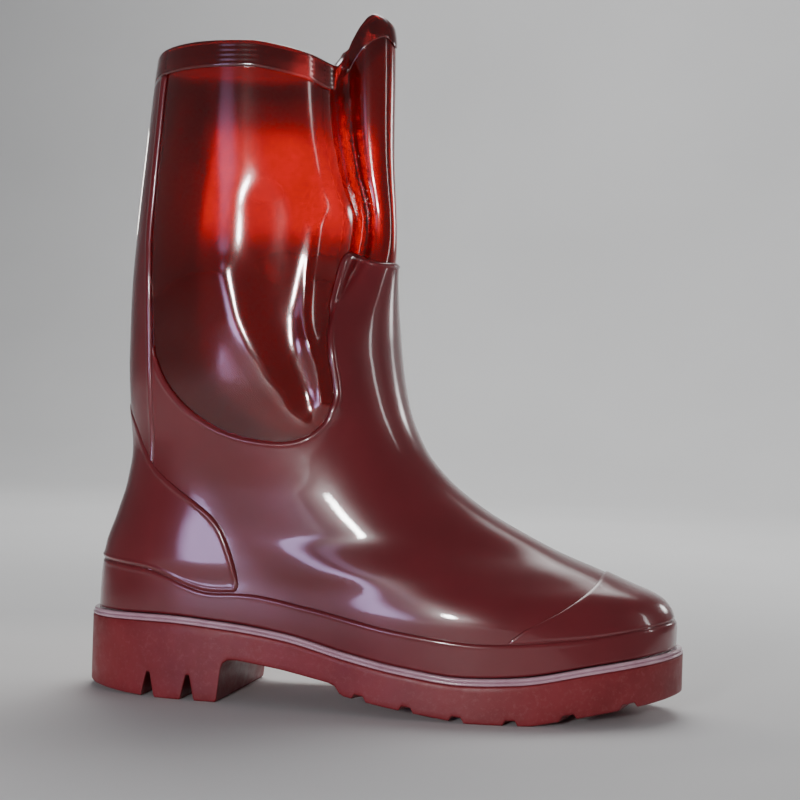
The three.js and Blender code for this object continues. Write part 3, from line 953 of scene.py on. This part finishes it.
BOOT_MIDDLE = (150, 0, 170)
VIOLET = (0.66, 0.54, 1.0)
WARM = (1, 0.93, 0.85)
WHITE = (1, 1, 1)
LIGHT_FULL_WITHIN = 0.1  # share of a soft box's width from its middle within which it doesn't fade
CAMERA_AIM = (159.3, 0, 152.3)
CAMERA_DISTANCE = 0.9  # metres
CAMERA_TURN = 12  # degrees round towards the toe
CAMERA_ROLL = 1.86  # degrees
CAMERA_LENS = 79.8
CAMERA_SENSOR = 36


def place_of(point):
    """A place given in the boot's own millimetres, as the frame's metres."""
    return Vector((point[0] * MM + SHIFT_X, point[1] * MM, point[2] * MM))


def soft_edges(light):
    """Lets a soft box fade out from near its middle to its edges."""
    light.use_nodes = True
    nodes, links = light.node_tree.nodes, light.node_tree.links
    place = nodes.new("ShaderNodeNewGeometry")
    from_middle = nodes.new("ShaderNodeVectorMath")
    from_middle.operation = "SUBTRACT"
    from_middle.inputs[1].default_value = (0.5, 0.5, 0)
    away = nodes.new("ShaderNodeVectorMath")
    away.operation = "LENGTH"
    fade = nodes.new("ShaderNodeMapRange")
    fade.interpolation_type = "SMOOTHSTEP"
    for end, value in (("From Min", LIGHT_FULL_WITHIN), ("From Max", 0.5), ("To Min", 1.0), ("To Max", 0.0)):
        fade.inputs[end].default_value = value
    links.new(place.outputs["Parametric"], from_middle.inputs[0])
    links.new(from_middle.outputs["Vector"], away.inputs[0])
    links.new(away.outputs["Value"], fade.inputs["Value"])
    links.new(fade.outputs["Result"], nodes["Emission"].inputs["Strength"])


def area_light(name, place, target, size, power, colour=WHITE, soft=True):
    """A soft box, with its place and target in millimetres, its width and height in metres."""
    data = bpy.data.lights.new(name, "AREA")
    data.shape = "RECTANGLE"
    data.size, data.size_y = size
    data.energy = power
    data.color = colour
    if soft:
        soft_edges(data)
    lamp = bpy.data.objects.new(name, data)
    bpy.context.scene.collection.objects.link(lamp)
    lamp.location = place_of(place)
    lamp.rotation_euler = (place_of(target) - lamp.location).to_track_quat("-Z", "Y").to_euler()


def floor():
    """A pale floor that curves up into a backdrop behind the boot."""
    half, front_end, curve_from, radius, top = 6.0, -6.0, 1.6, 0.9, 4.0
    turns = np.linspace(0, math.pi / 2, 25)
    profile = [(front_end, 0)]
    profile += [(curve_from + radius * math.sin(a), radius * (1 - math.cos(a))) for a in turns]
    profile.append((curve_from + radius, top))
    mesh = bpy.data.meshes.new("floor")
    points = [(x, y, z) for y, z in profile for x in (-half, half)]
    mesh.from_pydata(points, [], [(i, i + 1, i + 3, i + 2) for i in range(0, len(points) - 2, 2)])
    mesh.polygons.foreach_set("use_smooth", [True] * len(mesh.polygons))
    sweep = bpy.data.objects.new("floor", mesh)
    bpy.context.scene.collection.objects.link(sweep)
    look, shader, nodes, links = material("floor_pale")
    colour = ramp(nodes, links, noise(nodes, links, 3, 3, 0.5), [(0.3, grey(0.66)), (0.7, grey(0.70))])
    links.new(colour, shader.inputs["Base Color"])
    shader.inputs["Roughness"].default_value = 0.8
    mesh.materials.append(look)


def camera():
    """Level with mid-leg, turned a little round towards the toe and rolled by the boot's tilt."""
    turn = math.radians(CAMERA_TURN)
    right = Vector((math.cos(turn), math.sin(turn), 0))
    view = Vector((-math.sin(turn), math.cos(turn), 0))
    pose = Matrix((right, Vector((0, 0, 1)), -view)).transposed().to_4x4()
    pose = Matrix.Rotation(-math.radians(CAMERA_ROLL), 4, "Y") @ pose
    back_off = pose.to_3x3() @ Vector((0, 0, CAMERA_DISTANCE))
    data = bpy.data.cameras.new("camera")
    data.lens = CAMERA_LENS
    data.sensor_width = CAMERA_SENSOR
    data.dof.use_dof = False
    eye = bpy.data.objects.new("camera", data)
    bpy.context.scene.collection.objects.link(eye)
    eye.matrix_world = Matrix.Translation(place_of(CAMERA_AIM) + back_off) @ pose
    bpy.context.scene.camera = eye


def world():
    """An even, dim, cool surround."""
    studio = bpy.data.worlds.new("studio")
    bpy.context.scene.world = studio
    studio.use_nodes = True
    background = studio.node_tree.nodes["Background"]
    background.inputs["Color"].default_value = (0.80, 0.82, 0.86, 1)
    background.inputs["Strength"].default_value = 0.14


floor()
world()
camera()
area_light("key", (85, -1032, 214), (150, 0, 150), (0.14, 0.14), 14)
area_light("low_haze", (-262, -900, 34), (150, 0, 80), (0.37, 0.3), 3.9, VIOLET)
area_light("leg_haze", (-180, -935, 330), (120, 0, 230), (0.3, 0.26), 0.45, VIOLET)
area_light("shin_strip", (1080, -60, 380), BOOT_MIDDLE, (0.1, 0.6), 1.5)
area_light("toe_light", (900, 640, 420), BOOT_MIDDLE, (0.3, 0.3), 3.5)
area_light("leg_glow", (-8, 240, 290), (55, 0, 276), (0.2, 0.068), 0.42, WARM, soft=False)
area_light("sky", (150, 800, 1500), (150, 550, 0), (2.0, 1.3), 50)
area_light("backdrop_wash", (150, 900, 1500), (150, 2400, 500), (2.4, 0.8), 70)
